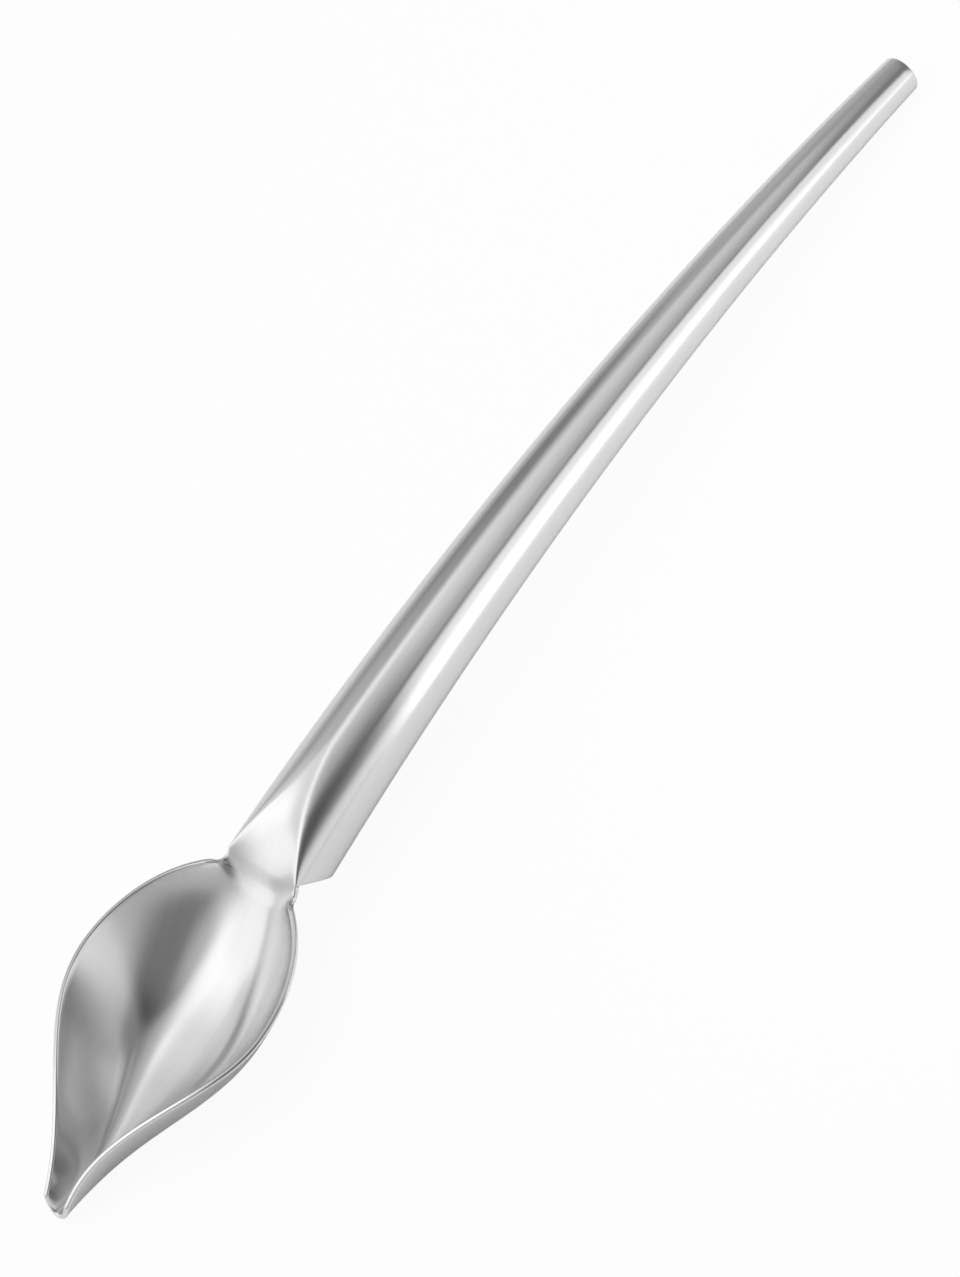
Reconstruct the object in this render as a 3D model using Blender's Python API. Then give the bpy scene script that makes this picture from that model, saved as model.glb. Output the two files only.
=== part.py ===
"""A plating spoon: a pressed steel bowl with a pouring tip, welded to a rolled hollow handle.

Sizes are in metres. The model is drawn with the pouring tip at x = 0, the handle running towards +X,
the middle plane at y = 0 and the table at z = 0, where the bowl and the butt of the handle both rest.
The finished spoon is then centred on its own box, standing on z = 0.
"""
import math

import bmesh
import bpy
from mathutils import Vector

# Sheet metal and fits
SHEET = 0.0008  # thickness of the bowl and of the handle wall
FIT_GAP = 0.0003  # space left between two pieces that touch
STEEL = (0.62, 0.62, 0.61, 1.0)
STEEL_ROUGHNESS = 0.26
WELD_STEEL = (0.55, 0.55, 0.54, 1.0)
WELD_ROUGHNESS = 0.34

# Bowl
BOWL_LENGTH = 0.0513  # from the tip to where the sides have drawn in to the neck
BOWL_WIDTH = 0.0316  # inside the rim
WIDEST_AT = 0.0333  # distance of the widest place from the tip
RIM_HEIGHT = 0.0138  # of the level rim above the table
DEEPEST_AT = 0.0228  # distance of the lowest place of the floor from the tip
FLOOR_FLAT = 0.25  # share of the bowl's width that is flat across, half way along the bowl

# Pouring tip
TIP_WIDTH = 0.0032  # inside the rim
TIP_ROUNDING = 0.0011  # how far the end of the tip is rounded back at its two corners
TIP_LIFT = 0.0017  # how much higher the floor is at the tip than at its lowest place
RIM_DROP = 0.0096  # how far the rim comes down to the tip
RIM_DROP_LENGTH = 0.0267

# Neck
NECK_LENGTH = 0.0009  # straight stretch between the bowl and the weld
NECK_CORNER_ROUND = 0.0014  # how softly the bowl's rim turns into the neck
NECK_FOLD_ROUND = 0.0040  # the same turn inside the bowl, away from its rim
NECK_TROUGH = 0.0016  # depth of the hollow that runs up out of the bowl
NECK_RUN_ON = 0.0035  # length over which the bowl takes on the slope of the handle's crown
WELD_GROOVE = 0.0018  # width of the groove between the bowl's neck and the handle
WELD_TOE = 0.0009  # from the edge of the neck to the thin edge of the weld
WELD_DEPTH = 0.0005
STEP_LENGTH = 0.0008  # over which the bowl's sheet steps down from the neck to the tongue
TONGUE_WIDTH = 0.0094  # the strip of the bowl's sheet that reaches inside the handle, at the mouth
TONGUE_END_WIDTH = 0.0050
TONGUE_LENGTH = 0.0065

# Handle
HANDLE_LENGTH = 0.1500  # along its curved axis, butt plug included
HANDLE_BEND = math.radians(20.0)
MOUTH_DIAMETER = 0.0144  # at the bowl
BUTT_DIAMETER = 0.0059
FLAT_HEIGHT = 0.00355  # of the two creases of the pressed crown above the axis, at the mouth
CROWN_LENGTH = 0.0200  # of the hollow pressed into the crown, where the creases run together
LEAST_CROWN_ANGLE = math.radians(24)  # from the top to the creases' columns, past the hollow
MOUTH_SLANT = 0.9  # how far the end cut runs back for each unit down, at the creases
SEAM_WIDTH = 0.0020  # between the two edges of the rolled sheet, underneath

# Butt plug
PLUG_HEAD = 0.0010
PLUG_EDGE_ROUND = 0.0003
PLUG_SPIGOT = 0.0060

# Fineness of the meshes
BOWL_ROWS = 44
BOWL_COLUMNS = 19  # an odd number, so that the spoon rests on a strip and not on an edge
TONGUE_ROWS = 5
HANDLE_ROWS = 30
CROWN_COLUMNS = 10
SIDE_COLUMNS = 9
SEAM_COLUMNS = 3
NECK_WELD_ROWS = 2
SHARP_EDGE = math.radians(35)
TURNED_SIDES = 28
HANDLE_ROW_CROWDING = 1.5  # above 1 the rows stand closer together near the mouth
TANGENT_STEP = 0.00001

MOUTH_RADIUS = MOUTH_DIAMETER / 2
BUTT_RADIUS = BUTT_DIAMETER / 2
HALF_NECK = math.sqrt(MOUTH_RADIUS ** 2 - FLAT_HEIGHT ** 2)
NECK_END = BOWL_LENGTH + NECK_LENGTH
HANDLE_START = NECK_END + WELD_GROOVE
TUBE_LENGTH = HANDLE_LENGTH - PLUG_HEAD - FIT_GAP
AXIS_RADIUS = HANDLE_LENGTH / HANDLE_BEND


def soft_ramp(value, softness):
    """0 below zero and the value above it, with the corner rounded off."""
    return (value + math.hypot(value, softness)) / 2


def handle_axis(along):
    """Point on the handle's curved axis and the axis's slope there, along metres from the mouth."""
    chord = 2 * AXIS_RADIUS * math.sin(HANDLE_BEND / 2)
    start_height = RIM_HEIGHT - FLAT_HEIGHT
    chord_slope = math.asin((BUTT_RADIUS - start_height) / chord)
    start_slope = chord_slope + HANDLE_BEND / 2
    slope = start_slope - along / AXIS_RADIUS
    x = HANDLE_START + FLAT_HEIGHT * math.sin(start_slope)
    x += AXIS_RADIUS * (math.sin(start_slope) - math.sin(slope))
    z = start_height + AXIS_RADIUS * (math.cos(slope) - math.cos(start_slope))
    return Vector((x, 0.0, z)), slope


def tube_radius(along):
    """Outer radius of the tapering handle."""
    return MOUTH_RADIUS + (BUTT_RADIUS - MOUTH_RADIUS) * along / HANDLE_LENGTH


def crown_hollow(along, side):
    """Height above the axis of the hollow pressed into the crown, rising until it is clear of the tube."""
    radius = tube_radius(along)
    taper = radius / MOUTH_RADIUS
    dip = (radius - FLAT_HEIGHT * taper + NECK_TROUGH) * max(0.0, 1 - along / CROWN_LENGTH) ** 3
    return radius - dip + NECK_TROUGH * (side / (HALF_NECK * taper)) ** 2


def crease_angle(along):
    """Angle from the top to a crease of the crown, where the hollow meets the round tube."""
    radius = tube_radius(along)
    bow = NECK_TROUGH * (MOUTH_RADIUS / (HALF_NECK * radius)) ** 2
    bottom = crown_hollow(along, 0.0)
    half = bow * bottom + 0.5
    width_squared = (math.sqrt(half ** 2 + bow ** 2 * (radius ** 2 - bottom ** 2)) - half) / bow ** 2
    return max(math.asin(math.sqrt(max(0.0, width_squared)) / radius), LEAST_CROWN_ANGLE)


def tube_point(along, angle):
    """Point on the outside of the handle; angle runs round the axis from the top."""
    radius = tube_radius(along)
    side = radius * math.sin(angle)
    height = min(radius * math.cos(angle), crown_hollow(along, side))
    centre, slope = handle_axis(along)
    return centre + Vector((-height * math.sin(slope), side, height * math.cos(slope)))


def point_under_tube(along, angle, depth):
    """Point below the handle's outside, square to its surface."""
    point = tube_point(along, angle)
    lengthwise = tube_point(along + TANGENT_STEP, angle) - point
    crosswise = tube_point(along, angle + TANGENT_STEP) - point
    return point - lengthwise.cross(crosswise).normalized() * depth


def rim_half_width(x, neck_round):
    """Half width of the bowl: a wave from the tip to the widest place, then an ellipse to the neck."""
    half_bowl = BOWL_WIDTH / 2
    if x < WIDEST_AT:
        wave = (1 - math.cos(math.pi * x / WIDEST_AT)) / 2
        return TIP_WIDTH / 2 + (half_bowl - TIP_WIDTH / 2) * wave
    neck_turn = math.acos(HALF_NECK / half_bowl)
    back_reach = (BOWL_LENGTH - WIDEST_AT) / math.sin(neck_turn)
    past_neck = max(0.0, x - BOWL_LENGTH)
    turn = math.asin((x - past_neck - WIDEST_AT) / back_reach)
    back = half_bowl * (math.cos(turn) - math.tan(neck_turn) * past_neck / back_reach)
    way = (x - past_neck - WIDEST_AT) / (BOWL_LENGTH - WIDEST_AT)
    return HALF_NECK + soft_ramp(back - HALF_NECK, neck_round * way ** 2 * (3 - 2 * way))


def rim_height(x):
    """Height of the rim: level, but falling to the tip."""
    fall = max(0.0, 1 - x / RIM_DROP_LENGTH)
    return RIM_HEIGHT - RIM_DROP * fall ** 2


def floor_height(x):
    """Height of the bowl's floor on the middle plane, running on into the handle's crown."""
    if x < DEEPEST_AT:
        return SHEET + TIP_LIFT * (1 - x / DEEPEST_AT) ** 3
    crown = tube_point(0.0, 0.0)
    run_on = tube_point(TANGENT_STEP, 0.0) - crown
    length = crown.x - DEEPEST_AT
    t = (x - DEEPEST_AT) / length
    rise = (crown.z - SHEET) * (3 - 2 * t) * t ** 2
    return SHEET + rise + length * run_on.z / run_on.x * (t - 1) * t ** 2


def wall_climb(x, across):
    """How far the bowl's wall has climbed from the floor, at across of its width; 1 at full width."""
    flat = FLOOR_FLAT * math.sin(math.pi * x / NECK_END) ** 2
    return max(0.0, abs(across) - flat) / (1 - flat)


def bowl_point(x, across):
    """Point on the inside of the bowl; across runs from -1 to 1 between the two sides of the rim."""
    floor = floor_height(x)
    width = rim_half_width(x, NECK_CORNER_ROUND)
    narrowing = width / rim_half_width(x, NECK_FOLD_ROUND)
    climb = wall_climb(x, across * narrowing) / wall_climb(x, narrowing) ** (across ** 4)
    height = floor + (rim_height(x) - floor) * climb ** 2
    return Vector((x, across * width, height))


def bowl_face_point(x, across):
    """Point on the inside of the bowl, which takes on the slope of the handle's crown at the neck."""
    crown = tube_point(x - HANDLE_START, math.asin(across * HALF_NECK / MOUTH_RADIUS))
    way = max(0.0, 1 - (HANDLE_START - x) / NECK_RUN_ON)
    return bowl_point(x, across).lerp(crown, way ** 2 * (3 - 2 * way))


def bowl_sheet_point(row, across):
    """Upper face of the bowl's sheet: rows from the tip to the neck, then down on to the tongue."""
    if row <= BOWL_ROWS:
        tip = TIP_ROUNDING * (1 - math.sqrt(1 - across ** 2))
        return bowl_face_point(tip + (NECK_END - tip) * row / BOWL_ROWS, across)
    start = STEP_LENGTH - WELD_GROOVE
    along = start + (TONGUE_LENGTH - start) * (row - BOWL_ROWS - 1) / TONGUE_ROWS
    narrowing = (TONGUE_WIDTH - TONGUE_END_WIDTH) * max(0.0, along) / TONGUE_LENGTH
    half_angle = math.asin((TONGUE_WIDTH - narrowing) / 2 / tube_radius(along))
    return point_under_tube(along, across * half_angle, SHEET + FIT_GAP)


def mouth_start(angle):
    """Where the handle's end is cut, along its axis: slanting from the creases, square at the bottom."""
    drop = max(0.0, FLAT_HEIGHT - MOUTH_RADIUS * math.cos(angle))
    return MOUTH_SLANT * drop * (1 - drop / (FLAT_HEIGHT + MOUTH_RADIUS) / 2)


def angle_round_handle(across, run):
    """Angle of a column of the rolled sheet, run metres from its cut end; each crease is a column."""
    crown_share = CROWN_COLUMNS / (CROWN_COLUMNS + 2 * SIDE_COLUMNS)
    crown = crease_angle(run)
    seam_angle = math.pi - SEAM_WIDTH / 2 / tube_radius(run)
    if abs(across) <= crown_share:
        return crown * across / crown_share
    down = (abs(across) - crown_share) / (1 - crown_share)
    return math.copysign(crown + (seam_angle - crown) * down, across)


def handle_sheet_point(row, across):
    """Outer face of the handle's rolled sheet, from the slanted mouth to the butt."""
    start = mouth_start(angle_round_handle(across, 0.0))
    run = TUBE_LENGTH * (row / HANDLE_ROWS) ** HANDLE_ROW_CROWDING
    along = start + (TUBE_LENGTH - start) * run / TUBE_LENGTH
    return tube_point(along, angle_round_handle(across, run))


def seam_weld_point(row, across):
    """Outer face of the weld that closes the seam underneath."""
    start = mouth_start(math.pi)
    along = start + (TUBE_LENGTH - start) * (row / HANDLE_ROWS) ** HANDLE_ROW_CROWDING
    half_angle = (SEAM_WIDTH / 2 - FIT_GAP) / tube_radius(along)
    return tube_point(along, math.pi + across * half_angle)


def neck_weld_point(row, across):
    """Upper face of the weld that fills the groove between the neck and the handle's crown."""
    inset = across * (1 - FIT_GAP / HALF_NECK)
    neck = bowl_face_point(NECK_END, inset)
    crown = tube_point(0.0, math.asin(inset * HALF_NECK / MOUTH_RADIUS))
    over = (crown - neck).normalized()
    toe = neck + over * WELD_TOE
    return toe.lerp(crown - over * FIT_GAP, row / NECK_WELD_ROWS)


def steel_material(name, colour, roughness):
    """Plain steel of one colour."""
    material = bpy.data.materials.new(name)
    material.use_nodes = True
    shader = material.node_tree.nodes["Principled BSDF"]
    shader.inputs["Base Color"].default_value = colour
    shader.inputs["Metallic"].default_value = 1.0
    shader.inputs["Roughness"].default_value = roughness
    return material


def add_object(name, bm, material, parent):
    """Turn a bmesh into a smooth shaded object under the assembly's empty."""
    mesh = bpy.data.meshes.new(name)
    bm.to_mesh(mesh)
    bm.free()
    mesh.materials.append(material)
    mesh.shade_smooth()
    mesh.set_sharp_from_angle(angle=SHARP_EDGE)
    part = bpy.data.objects.new(name, mesh)
    part.parent = parent
    bpy.context.collection.objects.link(part)
    return part


def add_sheet(name, rows, columns, place, thickness, material, parent):
    """A piece of sheet: a grid laid out by place(row, across), with the thickness behind it."""
    bm = bmesh.new()
    bmesh.ops.create_grid(bm, x_segments=rows, y_segments=columns, size=1.0)
    for vert in bm.verts:
        row = round((vert.co.x + 1) / 2 * rows)
        vert.co = place(row, vert.co.y)
    part = add_object(name, bm, material, parent)
    wall = part.modifiers.new("wall", "SOLIDIFY")
    wall.thickness = thickness
    wall.offset = -1.0
    wall.use_even_offset = True
    wall.use_quality_normals = True
    return part


def add_butt_plug(material, parent):
    """Turned plug: a head on the end of the tube and a tapered spigot inside it."""
    taper = (MOUTH_RADIUS - BUTT_RADIUS) / HANDLE_LENGTH
    spigot_radius = tube_radius(TUBE_LENGTH) - SHEET - FIT_GAP
    profile = (
        (BUTT_RADIUS - PLUG_EDGE_ROUND, 0.0),
        (BUTT_RADIUS, -PLUG_EDGE_ROUND),
        (BUTT_RADIUS + taper * PLUG_HEAD, -PLUG_HEAD),
        (spigot_radius, -PLUG_HEAD),
        (spigot_radius + taper * PLUG_SPIGOT, -PLUG_HEAD - PLUG_SPIGOT),
    )
    bm = bmesh.new()
    outline = [bm.verts.new((radius, 0.0, height)) for radius, height in profile]
    edges = [bm.edges.new(pair) for pair in zip(outline, outline[1:])]
    bmesh.ops.spin(
        bm, geom=outline + edges, cent=(0, 0, 0), axis=(0, 0, 1),
        angle=2 * math.pi, steps=TURNED_SIDES, use_merge=True,
    )
    bmesh.ops.holes_fill(bm, edges=bm.edges[:], sides=0)
    bmesh.ops.recalc_face_normals(bm, faces=bm.faces[:])
    plug = add_object("butt_plug", bm, material, parent)
    centre, slope = handle_axis(HANDLE_LENGTH)
    plug.location = centre
    plug.rotation_euler = (0.0, math.pi / 2 - slope, 0.0)
    return plug


def centre_on_table(assembly):
    """Move the assembly so that its box is centred over the origin and stands on z = 0."""
    bpy.context.view_layer.update()
    graph = bpy.context.evaluated_depsgraph_get()
    corners = []
    for part in assembly.children:
        shown = part.evaluated_get(graph)
        corners += [shown.matrix_world @ vert.co for vert in shown.data.vertices]
    low = Vector(min(corner[axis] for corner in corners) for axis in range(3))
    high = Vector(max(corner[axis] for corner in corners) for axis in range(3))
    middle = (low + high) / 2
    assembly.location = (-middle.x, -middle.y, -low.z)


def main():
    for leftover in list(bpy.data.objects):
        bpy.data.objects.remove(leftover, do_unlink=True)
    assembly = bpy.data.objects.new("plating_spoon", None)
    bpy.context.collection.objects.link(assembly)
    satin = steel_material("satin_steel", STEEL, STEEL_ROUGHNESS)
    dressed = steel_material("dressed_weld", WELD_STEEL, WELD_ROUGHNESS)
    bowl_rows = BOWL_ROWS + 1 + TONGUE_ROWS
    handle_columns = CROWN_COLUMNS + 2 * SIDE_COLUMNS
    pieces = (
        ("bowl", bowl_rows, BOWL_COLUMNS, bowl_sheet_point, SHEET, satin),
        ("handle_tube", HANDLE_ROWS, handle_columns, handle_sheet_point, SHEET, satin.copy()),
        ("seam_weld", HANDLE_ROWS, SEAM_COLUMNS, seam_weld_point, SHEET, dressed),
        ("neck_weld", NECK_WELD_ROWS, BOWL_COLUMNS, neck_weld_point, WELD_DEPTH, dressed.copy()),
    )
    for piece in pieces:
        add_sheet(*piece, assembly)
    add_butt_plug(satin.copy(), assembly)
    centre_on_table(assembly)


main()
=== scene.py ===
"""The looks of the plating spoon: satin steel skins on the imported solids, in soft studio light.

Lengths are in metres. The skins follow the sizes and curves of the solids. They are drawn with the
pouring tip at x = 0, the handle running towards +X and the table at z = 0, and then moved to the
tip's real place.
"""
import math

import bmesh
import bpy
import numpy as np
from mathutils import Euler, Matrix, Vector


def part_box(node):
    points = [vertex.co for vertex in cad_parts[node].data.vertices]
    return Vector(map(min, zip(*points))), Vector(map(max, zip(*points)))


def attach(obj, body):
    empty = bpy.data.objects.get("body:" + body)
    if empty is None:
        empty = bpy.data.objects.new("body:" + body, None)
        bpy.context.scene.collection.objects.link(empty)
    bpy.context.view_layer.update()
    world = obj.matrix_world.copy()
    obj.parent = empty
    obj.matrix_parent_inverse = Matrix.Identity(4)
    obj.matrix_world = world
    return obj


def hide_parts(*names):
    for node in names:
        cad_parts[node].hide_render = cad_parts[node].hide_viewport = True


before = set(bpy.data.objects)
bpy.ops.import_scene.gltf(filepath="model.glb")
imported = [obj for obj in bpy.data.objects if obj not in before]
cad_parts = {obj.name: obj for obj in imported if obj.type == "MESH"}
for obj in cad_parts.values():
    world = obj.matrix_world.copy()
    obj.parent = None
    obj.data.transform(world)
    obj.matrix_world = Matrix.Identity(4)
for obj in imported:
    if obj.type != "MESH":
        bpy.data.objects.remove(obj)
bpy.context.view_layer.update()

# Sheet
SHEET = 0.0008
FIT_GAP = 0.0003
EDGE_ROUND = 0.8  # share of half the sheet's thickness that is rounded off at its edges

# Bowl
BOWL_LENGTH = 0.0513
BOWL_WIDTH = 0.0316
WIDEST_AT = 0.0333
RIM_HEIGHT = 0.0138
DEEPEST_AT = 0.0228
FLOOR_FLAT = 0.25  # greatest share of the width that is flat at the bottom
FLOOR_SOFTNESS = 0.16  # how gently the flat of the floor turns up into the walls
TIP_WIDTH = 0.0032
TIP_ROUNDING = 0.0011
TIP_LIFT = 0.0017  # how much higher the floor lies at the tip
RIM_DROP = 0.0096  # how much lower the rim lies at the tip
RIM_DROP_LENGTH = 0.0267

# Neck
NECK_LENGTH = 0.0009
NECK_CORNER_ROUND = 0.0014  # how softly the rim turns into the neck
NECK_FOLD_ROUND = 0.0040  # the same turn inside the bowl, away from its rim
NECK_TROUGH = 0.0016  # depth of the hollow across the neck
NECK_BLEND = 0.0035  # length over which the bowl runs into the handle's crown
WELD_GROOVE = 0.0018
STEP_LENGTH = 0.0008
SHOULDER = 0.0003  # length over which the sheet is cut in from the neck to the tongue
TONGUE_WIDTH = 0.0094
TONGUE_END_WIDTH = 0.0050
TONGUE_LENGTH = 0.0065

# Handle
HANDLE_LENGTH = 0.1500
HANDLE_BEND = math.radians(20.0)
MOUTH_RADIUS = 0.0072
BUTT_RADIUS = 0.00295
FLAT_HEIGHT = 0.00355  # height of the crown's two creases above the axis, at the mouth
CROWN_BLEND = 0.0200  # length over which the pressed crown rises to the round tube
MOUTH_SLANT = 0.9  # how steeply the mouth's edge runs back below the creases
MOUTH_ROUND_REACH = 0.1  # share of the half width over which the mouth's edge gets round
CREASE_ROUND = 0.0003  # how softly the crown is pressed in at its two creases, at the mouth
CREASE_SPREAD = 0.0040  # how much softer the creases get on the way up the handle
INNER_CREASE_ROUND = 0.0030  # the same on the face that gives the directions of the thickness

# Seam
SEAM_WIDTH = 0.0020
SEAM_OVERLAP = 0.0002  # how far the bead reaches over each edge of the sheet
RIPPLE_DEPTH = 0.00003
RIPPLE_LENGTH = 0.0011

# Butt plug
PLUG_HEAD = 0.0010
PLUG_EDGE_ROUND = 0.0003
PLUG_SPIGOT = 0.0060

# Room for the skins inside the flat-sided solids, lengthwise
FACET_ALLOWANCE = 0.00001

# Fineness of the skins
EDGE_STEPS = 6
BOWL_ROWS = 190
BOWL_COLUMNS = 110
HANDLE_ROWS = 150
HANDLE_COLUMNS = 150
ROW_CROWDING = 1.4  # above 1, the handle's rows stand closer together towards the mouth
CROWN_SHARE = 0.4  # share of the handle's columns that lie on the pressed crown
LEAST_CROWN_ANGLE = math.radians(24)  # keeps those columns apart where the crown runs out
COLUMN_CROWDING = 5  # how much the handle's columns crowd together at its creases
CROWDING_REACH = 0.05  # share of the half width over which they do
CROWDING_SAMPLES = 2001
WELD_ROWS = 8
SEAM_ROWS = 560
SEAM_COLUMNS = 10
TURNED_SIDES = 96
SHARP_EDGE = math.radians(40)  # an edge that turns more than this stays sharp
TANGENT_STEP = 1e-5
GIRTH_PLACES = (0.1, 0.3, 0.5, 0.7, 0.9)  # where the width of a sheet is measured
MERGE_DISTANCE = 1e-7

# Finish of the steel
SATIN_COLOUR = (0.80, 0.80, 0.80)
SATIN_ROUGHNESS = 0.20
WELD_COLOUR = (0.78, 0.78, 0.78)
WELD_ROUGHNESS = 0.24
GRAIN_FINENESS = (60.0, 9000.0, 1.0)  # per metre, along the piece and across it
GRAIN_DETAIL = 3.0
GRAIN_DEPTH = 0.00001
GRAIN_STRENGTH = 0.25
STREAK_FINENESS = (18.0, 900.0, 1.0)
STREAK_DETAIL = 2.0
CLOUD_FINENESS = 90.0
CLOUD_DETAIL = 3.0
NOISE_MIDDLE = 0.5
GRAIN_ROUGHNESS = 0.03  # how far the grain, the streaks and the clouds spread the roughness
STREAK_ROUGHNESS = 0.05
CLOUD_ROUGHNESS = 0.07
EDGE_POLISH = 0.05  # how much smoother the worn edges are
TONE_MIDDLE = 0.5  # between the darker and the lighter colour
STREAK_TONE = 0.6
CLOUD_TONE = 0.5
# Painted highlight: how much lighter the colour is made at the sheet's rounded edges
EDGE_HIGHLIGHT_TONE = 0.4
DARKER = 0.94
LIGHTER = 1.05

# Sockets of a Mix node that mixes colours
MIX_FACTOR = 0
MIX_FIRST = 6
MIX_SECOND = 7
MIX_RESULT = 2

# Floor and light
WHITE = (1.0, 1.0, 1.0, 1.0)
FLOOR_REACH = 3.0
FLOOR_COLOUR = (0.9, 0.9, 0.9, 1.0)
FLOOR_WHITENESS = 0.93  # share of the floor that the camera sees as plain white
MIRRORED_WHITENESS = 0.05  # the same share of the floor's mirror image in the steel
WALL_BRIGHTNESS = 0.50
# Soft round panels on the studio's walls, and openings that take light away. In degrees: how far
# round from the butt towards the spoon's left, how far up, and the radius of the even middle and of
# the outer edge. Last comes the light that is added
PANELS = {
    "front_left": (125, 35, 15, 55, 0.65),
    "front_low": (190, 50, 0, 30, 0.35),
    "front_middle": (130, 60, 5, 20, 0.15),
    "top_left": (80, 65, 0, 10, 0.35),
    "top": (20, 65, 0, 30, 0.15),
    "right_low": (-75, 5, 5, 25, 0.45),
    "camera_opening": (-125, 45, 25, 40, -0.30),
    "right_opening": (-25, 25, 10, 75, -0.30),
    "back_opening": (90, 35, 20, 30, -0.40),
}
# Lamps: place, the point that they face, width and height, and the brightness of their faces
SOFTBOXES = {
    "side_softbox": ((0.105, -0.10, 0.055), (0.105, 0.0, 0.03), (0.21, 0.11), 0.75),
    "top_softbox": ((0.14, -0.02, 0.22), (0.14, -0.02, 0.0), (0.24, 0.24), 0.25),
}
FLOOR_LAMP = ((0.0, 0.0, 1.2), (0.0, 0.0, 0.0), (0.6, 0.6), 3.5)

# Camera
CAMERA_LEAN = math.radians(31.628)  # from straight above towards the spoon's right side
CAMERA_TIP_SIDE = math.radians(12.666)  # from there towards the tip
CAMERA_ROLL = math.radians(53.407)
CAMERA_DISTANCE = 1.0
CAMERA_AIM = (0.1008, 0.0, 0.008)
AIM_RIGHT = 0.000993
AIM_DOWN = 0.002672
LENS_LENGTH = 202.5  # this and the sensor's width are in millimetres
SENSOR_WIDTH = 36.0

HALF_NECK = math.sqrt(MOUTH_RADIUS ** 2 - FLAT_HEIGHT ** 2)
NECK_END = BOWL_LENGTH + NECK_LENGTH
HANDLE_START = NECK_END + WELD_GROOVE
TUBE_LENGTH = HANDLE_LENGTH - PLUG_HEAD
AXIS_RADIUS = HANDLE_LENGTH / HANDLE_BEND
TIP_PLACE = np.array((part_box("handle_tube")[0].x - HANDLE_START - FACET_ALLOWANCE, 0.0, 0.0))


def ease(share):
    """0 to 1 with a soft start and a soft end."""
    share = np.clip(share, 0.0, 1.0)
    return share * share * (3 - 2 * share)


def soft_ramp(value, softness):
    """0 below zero and the value above it, with the corner rounded off."""
    return (value + np.sqrt(value ** 2 + softness ** 2)) / 2


def handle_axis(along):
    """x, z and slope of the handle's curved axis, along metres from the mouth."""
    chord = 2 * AXIS_RADIUS * math.sin(HANDLE_BEND / 2)
    start_height = RIM_HEIGHT - FLAT_HEIGHT
    start_slope = math.asin((BUTT_RADIUS - start_height) / chord) + HANDLE_BEND / 2
    slope = start_slope - along / AXIS_RADIUS
    x = HANDLE_START + FLAT_HEIGHT * math.sin(start_slope)
    x = x + AXIS_RADIUS * (math.sin(start_slope) - np.sin(slope))
    z = start_height + AXIS_RADIUS * (np.cos(slope) - math.cos(start_slope))
    return x, z, slope


def tube_radius(along):
    """Outer radius of the round tube, which narrows evenly to the butt."""
    return MOUTH_RADIUS + (BUTT_RADIUS - MOUTH_RADIUS) * along / HANDLE_LENGTH


def crown_press(along, side):
    """Height above the axis of the hollow pressed into the crown, rising until it clears the tube."""
    radius = tube_radius(along)
    taper = radius / MOUTH_RADIUS
    left = np.maximum(1 - along / CROWN_BLEND, 0.0)
    dip = (radius - FLAT_HEIGHT * taper + NECK_TROUGH) * left ** 3
    return radius - dip + NECK_TROUGH * (side / (HALF_NECK * taper)) ** 2


def crease_angle(along):
    """Angle from the top to the edge of the pressed crown, where the hollow meets the round tube."""
    radius = tube_radius(along)
    bow = NECK_TROUGH * (MOUTH_RADIUS / (HALF_NECK * radius)) ** 2
    bottom = crown_press(along, 0.0)
    half = bow * bottom + 0.5
    width_squared = (np.sqrt(half ** 2 + bow ** 2 * (radius ** 2 - bottom ** 2)) - half) / bow ** 2
    width = np.sqrt(np.maximum(width_squared, 0.0))
    return np.maximum(np.arcsin(width / radius), LEAST_CROWN_ANGLE)


def tube_surface(along, angle, crease_round=CREASE_ROUND):
    """Points on the outside of the handle; angle runs round its axis from the top."""
    radius = tube_radius(along)
    side = radius * np.sin(angle)
    height = radius * np.cos(angle)
    left = np.clip(1 - along / CROWN_BLEND, 0.0, 1.0)
    softness = (crease_round + CREASE_SPREAD * (1 - left)) * left ** 2
    height = height - soft_ramp(height - crown_press(along, side), softness)
    x, z, slope = handle_axis(along)
    return np.stack((x - height * np.sin(slope), side, z + height * np.cos(slope)), axis=-1)


def rim_half_width(x, neck_round=NECK_CORNER_ROUND):
    """Half width of the bowl: a wave from the tip to its widest, then an ellipse to the neck."""
    half_bowl = BOWL_WIDTH / 2
    wave = (1 - np.cos(math.pi * np.minimum(x, WIDEST_AT) / WIDEST_AT)) / 2
    front = TIP_WIDTH / 2 + (half_bowl - TIP_WIDTH / 2) * wave
    neck_turn = math.acos(HALF_NECK / half_bowl)
    back_reach = (BOWL_LENGTH - WIDEST_AT) / math.sin(neck_turn)
    turn = np.arcsin(np.clip((x - WIDEST_AT) / back_reach, 0.0, math.sin(neck_turn)))
    past_neck = np.maximum(x - BOWL_LENGTH, 0.0)
    back = half_bowl * (np.cos(turn) - math.tan(neck_turn) * past_neck / back_reach)
    softness = neck_round * ease((x - WIDEST_AT) / (BOWL_LENGTH - WIDEST_AT))
    return np.where(x < WIDEST_AT, front, HALF_NECK + soft_ramp(back - HALF_NECK, softness))


def rim_height(x):
    """Height of the rim, which drops in a curve towards the tip."""
    return RIM_HEIGHT - RIM_DROP * np.maximum(0.0, 1 - x / RIM_DROP_LENGTH) ** 2


def floor_height(x):
    """Height of the bowl's floor on the middle plane, running on into the handle's crown."""
    crown = tube_surface(0.0, 0.0)
    run_on = tube_surface(TANGENT_STEP, 0.0) - crown
    length = crown[0] - DEEPEST_AT
    way = np.maximum(x - DEEPEST_AT, 0.0) / length
    rise = (crown[2] - SHEET) * (3 - 2 * way) * way ** 2
    back = SHEET + rise + length * run_on[2] / run_on[0] * (way - 1) * way ** 2
    front = SHEET + TIP_LIFT * (1 - np.minimum(x, DEEPEST_AT) / DEEPEST_AT) ** 3
    return np.where(x < DEEPEST_AT, front, back)


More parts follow.
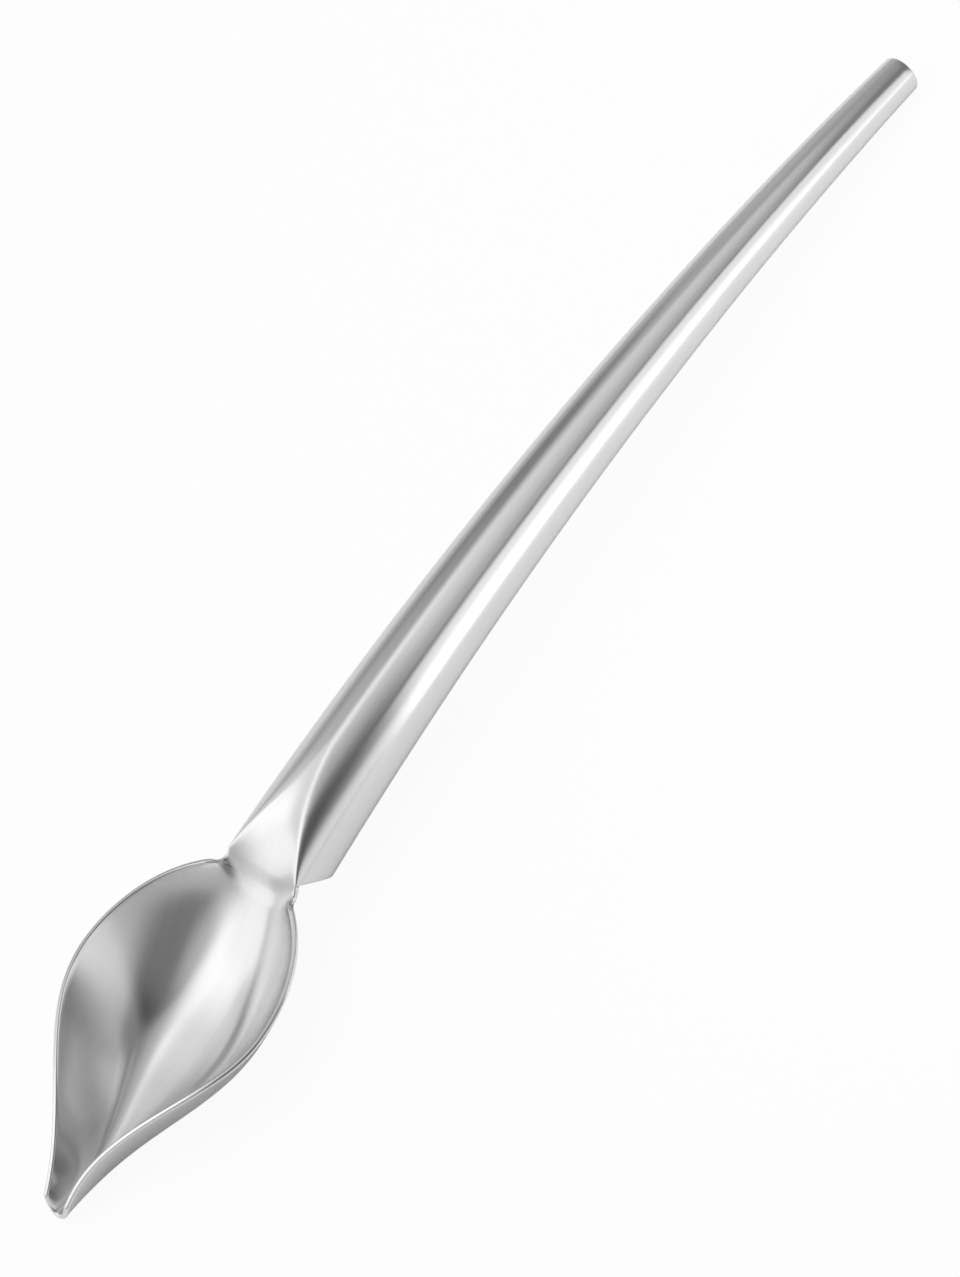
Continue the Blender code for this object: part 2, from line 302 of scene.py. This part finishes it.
def wall_climb(x, across):
    """How far the bowl's wall has climbed from the floor, at across of its width; about 1 at the rim."""
    flat = FLOOR_FLAT * np.sin(math.pi * np.clip(x, 0.0, NECK_END) / NECK_END) ** 2
    start = soft_ramp(-flat, FLOOR_SOFTNESS)
    climb = soft_ramp(np.abs(across) - flat, FLOOR_SOFTNESS) - start
    return climb / (soft_ramp(1 - flat, FLOOR_SOFTNESS) - start)


def bowl_surface(x, across):
    """Points on the inside of the bowl; across runs from -1 to 1 between the two sides of the rim.

    At the neck the walls turn in more softly than the rim does, and still end at its height.
    """
    floor = floor_height(x)
    width = rim_half_width(x)
    narrowing = width / rim_half_width(x, NECK_FOLD_ROUND)
    at_rim = wall_climb(x, narrowing) ** (across ** 4)
    climb = wall_climb(x, across * narrowing) / at_rim
    height = floor + (rim_height(x) - floor) * climb ** 2
    return np.stack((x, across * width, height), axis=-1)


def bowl_face(run, across):
    """Upper face from the tip to the handle's mouth and on under its crown; run is in metres."""
    angle = np.arcsin(across * HALF_NECK / MOUTH_RADIUS)
    neck_x = tube_surface(0.0, angle)[..., 0]
    tip = TIP_ROUNDING * (1 - np.sqrt(np.maximum(0.0, 1 - across ** 2)))
    bowl = bowl_surface(tip + (neck_x - tip) * np.minimum(run / HANDLE_START, 1.0), across)
    crown = tube_surface(run - HANDLE_START, angle)
    return bowl + (crown - bowl) * ease((run - HANDLE_START) / NECK_BLEND + 1)[..., None]


def tongue_step(run):
    """How far the bowl's sheet has stepped down below the crown, 0 to 1."""
    return np.clip((run - NECK_END) / STEP_LENGTH, 0.0, 1.0)


def bowl_sheet_face(run, across):
    """The bowl's sheet: as wide as the rim up to the neck, then narrowed to the tongue."""
    way = np.clip((run - HANDLE_START) / TONGUE_LENGTH, 0.0, 1.0)
    tongue_width = TONGUE_WIDTH + (TONGUE_END_WIDTH - TONGUE_WIDTH) * way
    drawn_in = np.clip((run - NECK_END) / SHOULDER, 0.0, 1.0)
    narrowing = 1 - (1 - tongue_width / 2 / HALF_NECK) * drawn_in
    return bowl_face(run, across * narrowing)


def mouth_start(angle):
    """Where the handle's end is cut, along its axis: slanting from its creases, square at the bottom."""
    drop = np.maximum(0.0, FLAT_HEIGHT - MOUTH_RADIUS * np.cos(angle))
    return MOUTH_SLANT * drop * (1 - drop / (FLAT_HEIGHT + MOUTH_RADIUS) / 2)


def handle_angle(run, across):
    """Angle round the handle of a column of its sheet; the crown's columns keep to its creases."""
    crown = crease_angle(run)
    seam = math.pi - SEAM_WIDTH / 2 / tube_radius(run)
    on_crown = np.minimum(np.abs(across) / CROWN_SHARE, 1.0)
    down_side = np.maximum(np.abs(across) - CROWN_SHARE, 0.0) / (1 - CROWN_SHARE)
    return np.sign(across) * (crown * on_crown + (seam - crown) * down_side)


def handle_face(crease_round):
    """Outer face of the rolled sheet; run is in metres from the mouth, across from seam to seam."""
    def face(run, across):
        start = mouth_start(handle_angle(0.0, across))
        along = start + (TUBE_LENGTH - start) * run / TUBE_LENGTH
        return tube_surface(along, handle_angle(run, across), crease_round)
    return face


def even_columns(share):
    """Columns that stand evenly over a sheet."""
    return share


def crowded_columns(share):
    """Columns of the handle, from 0 at one edge of its sheet to 1, crowded at the two creases."""
    fine = np.linspace(0, 1, CROWDING_SAMPLES)
    from_crease = np.abs(2 * fine - 1) - CROWN_SHARE
    total = np.cumsum(1 + COLUMN_CROWDING * np.exp(-(from_crease / CROWDING_REACH) ** 2))
    return np.interp(share, (total - total[0]) / (total[-1] - total[0]), fine)


def steps_on(face, run, across):
    """Small steps on a face, along it and across it."""
    lengthwise = face(run + TANGENT_STEP, across) - face(run - TANGENT_STEP, across)
    crosswise = face(run, across + TANGENT_STEP) - face(run, across - TANGENT_STEP)
    return lengthwise, crosswise


def normals_of(face, run, across):
    """Unit normals of a face, on the side that is up when run goes along +X and across along +Y."""
    normal = np.cross(*steps_on(face, run, across))
    return normal / np.linalg.norm(normal, axis=-1, keepdims=True)


def speed_of(face, run, across):
    """Metres that a face moves squarely to its length for a step of 1 across it."""
    lengthwise, crosswise = steps_on(face, run, across)
    swept = np.linalg.norm(np.cross(lengthwise, crosswise), axis=-1)
    return swept / np.linalg.norm(lengthwise, axis=-1) / (2 * TANGENT_STEP)


def edge_stations(steps):
    """Stations over a sheet from one round edge to the other.

    Gives the share of the way over it, the inset from the edge and the drop towards the middle of its
    thickness, the last two in halves of the thickness. At the first and the last station the two sides
    of the sheet meet.
    """
    turn = np.linspace(0, math.pi / 2, EDGE_STEPS)
    inset = np.concatenate(((0.0,), EDGE_ROUND * (1 - np.cos(turn))))
    drop = np.concatenate(((1.0,), EDGE_ROUND * (1 - np.sin(turn))))
    middle = np.linspace(0, 1, steps + 1)[1:-1]
    share = np.concatenate((np.zeros_like(inset), middle, np.ones_like(inset)))
    insets = np.concatenate((inset, np.ones_like(middle), inset[::-1]))
    drops = np.concatenate((drop, np.zeros_like(middle), drop[::-1]))
    return share, insets, drops


def section_stations(columns):
    """Stations round a sheet's section, over its outer side and back under it; last, which are under."""
    over = edge_stations(columns)
    share, inset, drop = (np.concatenate((side, side[-2::-1])) for side in over)
    under = np.arange(len(share)) >= len(over[0])
    return share, inset, drop, under


def row_stations(rows):
    """Stations along a sheet, with a cap before the first and after the last.

    Besides share, inset and drop, says which stations are at the first end, at the last end, and caps.
    """
    share, inset, drop = edge_stations(rows)
    share = np.pad(share, 1, mode="edge")
    inset = np.pad(inset, 1)
    drop = np.pad(drop, 1, constant_values=1.0)
    station = np.arange(len(share))
    first = station <= EDGE_STEPS + 1
    cap = (station == 0) | (station == len(share) - 1)
    return share, inset, drop, first, first[::-1], cap


def close_skin(bm):
    """Merge the points that lie on one another and turn the faces outwards."""
    bmesh.ops.remove_doubles(bm, verts=bm.verts[:], dist=MERGE_DISTANCE)
    bmesh.ops.recalc_face_normals(bm, faces=bm.faces[:])


def rolled_sheet(face, length, rows, columns, depth, start=0.0, fan=None, spread=even_columns,
                 round_start=np.ones_like, round_end=np.ones_like, crowding=1.0, crease_at=None):
    """A bmesh of sheet metal with rounded edges.

    face(run, across) is its outer face, and depth(run, across) gives the depths of its two sides below
    that face. fan is a softer face that gives the directions of those depths. spread places the columns,
    and a crowding above 1 draws the rows towards the start. round_start and round_end say with 0 to 1
    how round each end is at a place across it. A row of points is laid at crease_at.
    """
    edge = SHEET / 2
    share, inset, drop, under = section_stations(columns)
    row_share, row_inset, row_drop, first, last, cap = row_stations(rows)

    bm = bmesh.new()
    uv = bm.loops.layers.uv.new("grain")
    # How near each point is to the rounded edges; it drives the edges' polish and their painted
    # highlight
    wear_and_highlight = bm.verts.layers.float.new("edge")
    bmesh.ops.create_grid(bm, x_segments=len(row_share) - 1, y_segments=len(share) - 1, size=1.0)
    places = np.array([vert.co for vert in bm.verts])
    row = np.rint((places[:, 0] + 1) / 2 * (len(row_share) - 1)).astype(int)
    column = np.rint((places[:, 1] + 1) / 2 * (len(share) - 1)).astype(int)

    run = start + edge + (length - 2 * edge) * row_share[row] ** crowding
    run = np.where(first[row], start + edge * row_inset[row], run)
    run = np.where(last[row], start + length - edge * row_inset[row], run)
    if crease_at is not None:
        run[run == run[np.argmin(np.abs(run - crease_at))]] = crease_at
    left = edge / speed_of(face, run, np.full_like(run, -1.0))
    right = edge / speed_of(face, run, np.full_like(run, 1.0))
    across = -1 + left + (2 - left - right) * spread(share[column])
    across = np.where(share[column] == 0, -1 + left * inset[column], across)
    across = np.where(share[column] == 1, 1 - right * inset[column], across)

    roundness = np.where(first[row], round_start(across), round_end(across))
    end_drop = np.where(cap[row], 1.0, row_drop[row] * roundness)
    fullness = 1 - np.maximum(end_drop, drop[column])
    upper, lower = depth(run, across)
    middle_depth = (upper + lower) / 2
    half = (lower - upper) / 2 * fullness
    deep = np.where(under[column], middle_depth + half, middle_depth - half)
    points = face(run, across) - deep[:, None] * normals_of(fan or face, run, across) + TIP_PLACE
    for vert, point, full in zip(bm.verts, points, fullness):
        vert.co = point
        vert[wear_and_highlight] = 1 - full

    speeds = [speed_of(face, run, np.full_like(run, place)) for place in GIRTH_PLACES]
    girth = across * np.mean(speeds, axis=0)
    for patch in bm.faces:
        for corner in patch.loops:
            index = corner.vert.index
            corner[uv].uv = (run[index], girth[index])
    close_skin(bm)
    return bm


def finish_piece(name, bm, material, node):
    """Turn a bmesh into a smooth shaded piece that stands for a node of the frame."""
    mesh = bpy.data.meshes.new(name)
    bm.to_mesh(mesh)
    bm.free()
    mesh.materials.append(material)
    mesh.shade_smooth()
    mesh.set_sharp_from_angle(angle=SHARP_EDGE)
    piece = bpy.data.objects.new(name, mesh)
    bpy.context.scene.collection.objects.link(piece)
    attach(piece, "root")
    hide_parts(node)


def add_bowl_shell(material):
    """The pressed bowl, with the tongue that steps down and reaches inside the handle."""
    def depth(run, across):
        upper = (SHEET + FIT_GAP) * tongue_step(run)
        return upper, upper + SHEET
    length = HANDLE_START + TONGUE_LENGTH
    bm = rolled_sheet(
        bowl_sheet_face, length, BOWL_ROWS, BOWL_COLUMNS, depth, fan=bowl_face, crease_at=NECK_END,
    )
    finish_piece("bowl_shell", bm, material, "bowl")


def add_neck_weld_fill(material):
    """Weld metal, dressed flush, in the groove between the neck and the handle's crown."""
    def depth(run, across):
        from_tongue = np.abs(across) * HALF_NECK - TONGUE_WIDTH / 2
        beside_tongue = np.clip(from_tongue / SHOULDER, 0.0, 1.0)
        return np.zeros_like(run), SHEET * np.maximum(tongue_step(run), beside_tongue)
    bm = rolled_sheet(
        bowl_face, WELD_GROOVE, WELD_ROWS, BOWL_COLUMNS, depth, start=NECK_END,
        round_start=np.zeros_like, round_end=np.zeros_like,
    )
    finish_piece("neck_weld_fill", bm, material, "neck_weld")


def add_handle_shell(material):
    """The handle's sheet: pressed crown at the mouth, slanted mouth edge, square butt."""
    def depth(run, across):
        return np.zeros_like(run), np.full_like(run, SHEET)

    def round_mouth(across):
        return ease((np.abs(across) - CROWN_SHARE) / MOUTH_ROUND_REACH)
    bm = rolled_sheet(
        handle_face(CREASE_ROUND), TUBE_LENGTH, HANDLE_ROWS, HANDLE_COLUMNS, depth,
        fan=handle_face(INNER_CREASE_ROUND), spread=crowded_columns, round_start=round_mouth,
        round_end=np.zeros_like, crowding=ROW_CROWDING,
    )
    finish_piece("handle_shell", bm, material, "handle_tube")


def add_seam_bead(material):
    """The dressed weld along the seam underneath."""
    start = mouth_start(math.pi)

    def face(run, across):
        half_angle = (SEAM_WIDTH / 2 + SEAM_OVERLAP) / tube_radius(run)
        return tube_surface(run, math.pi + across * half_angle)

    def depth(run, across):
        ripple = RIPPLE_DEPTH * np.sin(run * 2 * math.pi / RIPPLE_LENGTH)
        return ripple, np.full_like(run, SHEET)
    bm = rolled_sheet(face, TUBE_LENGTH - start, SEAM_ROWS, SEAM_COLUMNS, depth, start=start)
    finish_piece("seam_bead", bm, material, "seam_weld")


def add_end_plug(material):
    """The turned plug in the butt of the handle."""
    taper = (MOUTH_RADIUS - BUTT_RADIUS) / HANDLE_LENGTH
    spigot_radius = tube_radius(TUBE_LENGTH) - SHEET - FIT_GAP
    profile = [(0.0, 0.0)]
    for turn in np.linspace(0, math.pi / 2, EDGE_STEPS + 1):
        profile.append((
            BUTT_RADIUS - PLUG_EDGE_ROUND * (1 - math.sin(turn)),
            -PLUG_EDGE_ROUND * (1 - math.cos(turn)),
        ))
    profile += [
        (BUTT_RADIUS + taper * PLUG_HEAD, -PLUG_HEAD),
        (spigot_radius, -PLUG_HEAD),
        (spigot_radius + taper * PLUG_SPIGOT, -PLUG_HEAD - PLUG_SPIGOT),
        (0.0, -PLUG_HEAD - PLUG_SPIGOT),
    ]
    bm = bmesh.new()
    bm.verts.layers.float.new("edge")
    outline = [bm.verts.new((radius, 0.0, height)) for radius, height in profile]
    edges = [bm.edges.new(pair) for pair in zip(outline, outline[1:])]
    bmesh.ops.spin(
        bm, geom=outline + edges, cent=(0, 0, 0), axis=(0, 0, 1),
        angle=2 * math.pi, steps=TURNED_SIDES, use_merge=True,
    )
    close_skin(bm)
    x, z, slope = handle_axis(HANDLE_LENGTH)
    place = Matrix.Translation(Vector((x, 0.0, z)) + Vector(TIP_PLACE))
    turned = Matrix.Rotation(math.pi / 2 - slope, 4, "Y")
    bmesh.ops.transform(bm, matrix=place @ turned, verts=bm.verts[:])
    finish_piece("end_plug", bm, material, "butt_plug")


class Shade:
    """A value in a shader; arithmetic on it adds Math nodes, and node adds any other node."""

    def __init__(self, tree, socket=None):
        self.tree = tree
        self.socket = socket

    def node(self, kind, settings, sockets, output=0):
        """Add a node with its settings, fill or link its sockets, and give one of its outputs."""
        made = self.tree.nodes.new(kind)
        for name, value in settings.items():
            setattr(made, name, value)
        for name, value in sockets.items():
            if isinstance(value, Shade):
                self.tree.links.new(value.socket, made.inputs[name])
            else:
                made.inputs[name].default_value = value
        return Shade(self.tree, made.outputs[output] if made.outputs else None)

    def math(self, operation, first, second):
        return self.node("ShaderNodeMath", {"operation": operation}, {0: first, 1: second})

    def __add__(self, other):
        return self.math("ADD", self, other)

    def __radd__(self, other):
        return self.math("ADD", other, self)

    def __sub__(self, other):
        return self.math("SUBTRACT", self, other)

    def __rsub__(self, other):
        return self.math("SUBTRACT", other, self)

    def __mul__(self, other):
        return self.math("MULTIPLY", self, other)

    def __rmul__(self, other):
        return self.math("MULTIPLY", other, self)


def steel(name, colour, roughness):
    """Satin steel with a fine grain along the piece, cloudy polish, smoother worn edges and a painted
    highlight that makes the edges lighter in colour.
    """
    material = bpy.data.materials.new(name)
    material.use_nodes = True
    tree = material.node_tree
    surface = tree.nodes["Principled BSDF"]
    surface.inputs["Metallic"].default_value = 1.0
    pen = Shade(tree)
    grain_map = pen.node("ShaderNodeUVMap", {"uv_map": "grain"}, {})
    place = pen.node("ShaderNodeTexCoord", {}, {}, "Object")
    edge = pen.node("ShaderNodeAttribute", {"attribute_name": "edge"}, {}, "Fac")

    def noise(vector, scale, detail):
        sockets = {"Vector": vector, "Scale": scale, "Detail": detail}
        return pen.node("ShaderNodeTexNoise", {}, sockets, "Fac")

    def brushed(fineness, detail):
        stretched = pen.node("ShaderNodeMapping", {}, {"Vector": grain_map, "Scale": fineness})
        return noise(stretched, 1.0, detail)

    grain = brushed(GRAIN_FINENESS, GRAIN_DETAIL)
    streaks = brushed(STREAK_FINENESS, STREAK_DETAIL)
    cloud = noise(place, CLOUD_FINENESS, CLOUD_DETAIL)

    rough = roughness + STREAK_ROUGHNESS * (streaks - NOISE_MIDDLE)
    rough = rough + CLOUD_ROUGHNESS * (cloud - NOISE_MIDDLE)
    rough = rough + GRAIN_ROUGHNESS * (grain - NOISE_MIDDLE)
    rough = rough - EDGE_POLISH * edge
    tree.links.new(rough.socket, surface.inputs["Roughness"])

    tone = TONE_MIDDLE + STREAK_TONE * (streaks - NOISE_MIDDLE)
    tone = tone + CLOUD_TONE * (cloud - NOISE_MIDDLE)
    # Painted highlight: the colour is made lighter along the rounded edges
    tone = tone + EDGE_HIGHLIGHT_TONE * edge
    darker = (*(DARKER * channel for channel in colour), 1.0)
    lighter = (*(LIGHTER * channel for channel in colour), 1.0)
    tint = pen.node(
        "ShaderNodeMix", {"data_type": "RGBA"},
        {MIX_FACTOR: tone, MIX_FIRST: darker, MIX_SECOND: lighter}, MIX_RESULT,
    )
    tree.links.new(tint.socket, surface.inputs["Base Color"])

    bump = pen.node(
        "ShaderNodeBump", {}, {"Strength": GRAIN_STRENGTH, "Distance": GRAIN_DEPTH, "Height": grain},
    )
    tree.links.new(bump.socket, surface.inputs["Normal"])
    return material


def add_floor():
    """A plain pale floor; most of it is seen as white, with a little of its shadows."""
    bm = bmesh.new()
    bmesh.ops.create_grid(bm, x_segments=1, y_segments=1, size=FLOOR_REACH)
    mesh = bpy.data.meshes.new("floor")
    bm.to_mesh(mesh)
    bm.free()
    floor = bpy.data.objects.new("floor", mesh)
    bpy.context.scene.collection.objects.link(floor)
    material = bpy.data.materials.new("pale_floor")
    material.use_nodes = True
    tree = material.node_tree
    tree.nodes.clear()
    pen = Shade(tree)
    seen = pen.node("ShaderNodeLightPath", {}, {}, "Is Camera Ray")
    mirrored = pen.node("ShaderNodeLightPath", {}, {}, "Is Glossy Ray")
    looked_through = pen.node("ShaderNodeLightPath", {}, {}, "Is Transmission Ray")
    whitened = FLOOR_WHITENESS * seen + MIRRORED_WHITENESS * (mirrored + looked_through)
    matt = pen.node("ShaderNodeBsdfDiffuse", {}, {"Color": FLOOR_COLOUR})
    white = pen.node("ShaderNodeEmission", {}, {"Color": WHITE, "Strength": 1.0})
    mixed = pen.node("ShaderNodeMixShader", {}, {0: whitened, 1: matt, 2: white})
    pen.node("ShaderNodeOutputMaterial", {}, {"Surface": mixed})
    mesh.materials.append(material)


def add_world():
    """Grey studio walls all round, with the soft panels and openings on them."""
    world = bpy.data.worlds.new("studio")
    bpy.context.scene.world = world
    world.use_nodes = True
    tree = world.node_tree
    tree.nodes.clear()
    pen = Shade(tree)
    direction = pen.node("ShaderNodeTexCoord", {}, {}, "Generated")
    wall = WALL_BRIGHTNESS
    for name, (round_about, height, middle, edge, brightness) in PANELS.items():
        turn = Euler((0.0, -math.radians(height), math.radians(round_about)))
        towards = turn.to_matrix() @ Vector((1.0, 0.0, 0.0))
        nearness = pen.node(
            "ShaderNodeVectorMath", {"operation": "DOT_PRODUCT"}, {0: direction, 1: towards}, "Value",
        )
        wall = wall + pen.node(
            "ShaderNodeMapRange", {"interpolation_type": "SMOOTHSTEP", "label": name},
            {"Value": nearness, "From Min": math.cos(math.radians(edge)),
             "From Max": math.cos(math.radians(middle)), "To Min": 0.0, "To Max": brightness},
        )
    studio = pen.node("ShaderNodeBackground", {}, {"Color": WHITE, "Strength": wall})
    pen.node("ShaderNodeOutputWorld", {}, {"Surface": studio})


def add_softbox(name, place, aim, size, brightness):
    """A soft lamp with an even face; brightness is the radiance of that face."""
    lamp = bpy.data.lights.new(name, "AREA")
    lamp.shape = "RECTANGLE"
    lamp.size, lamp.size_y = size
    lamp.energy = brightness * math.pi * lamp.size * lamp.size_y
    holder = bpy.data.objects.new(name, lamp)
    holder.location = place
    holder.rotation_euler = (Vector(aim) - Vector(place)).to_track_quat("-Z", "Y").to_euler()
    holder.visible_camera = False
    bpy.context.scene.collection.objects.link(holder)
    return holder


def add_lamps():
    """The softboxes that the steel mirrors, and a lamp for the floor that it doesn't mirror."""
    for name, settings in SOFTBOXES.items():
        add_softbox(name, *settings)
    floor_lamp = add_softbox("floor_lamp", *FLOOR_LAMP)
    floor_lamp.visible_glossy = False


def add_camera():
    """A long lens above the spoon's right side, turned so that the tip points to the lower left."""
    along = Vector((1.0, 0.0, 0.0))
    over = Vector((0.0, -math.sin(CAMERA_LEAN), math.cos(CAMERA_LEAN)))
    beside = Vector((0.0, -math.cos(CAMERA_LEAN), -math.sin(CAMERA_LEAN)))
    back = math.cos(CAMERA_TIP_SIDE) * over - math.sin(CAMERA_TIP_SIDE) * along
    slant = math.cos(CAMERA_TIP_SIDE) * along + math.sin(CAMERA_TIP_SIDE) * over
    right = math.cos(CAMERA_ROLL) * slant + math.sin(CAMERA_ROLL) * beside
    up = math.sin(CAMERA_ROLL) * slant - math.cos(CAMERA_ROLL) * beside
    aim = Vector(CAMERA_AIM) + Vector(TIP_PLACE) + AIM_RIGHT * right - AIM_DOWN * up
    lens = bpy.data.cameras.new("camera")
    lens.lens = LENS_LENGTH
    lens.sensor_width = SENSOR_WIDTH
    camera = bpy.data.objects.new("camera", lens)
    turn = Matrix((right, up, back)).transposed().to_4x4()
    camera.matrix_world = Matrix.Translation(aim + CAMERA_DISTANCE * back) @ turn
    bpy.context.scene.collection.objects.link(camera)
    bpy.context.scene.camera = camera


def main():
    """Dress the frame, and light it."""
    satin = steel("satin_steel_skin", SATIN_COLOUR, SATIN_ROUGHNESS)
    dressed = steel("dressed_weld_skin", WELD_COLOUR, WELD_ROUGHNESS)
    add_bowl_shell(satin)
    add_neck_weld_fill(dressed)
    add_handle_shell(satin)
    add_seam_bead(dressed)
    add_end_plug(satin)
    add_floor()
    add_world()
    add_lamps()
    add_camera()
    bpy.context.scene.view_settings.view_transform = "Standard"


main()
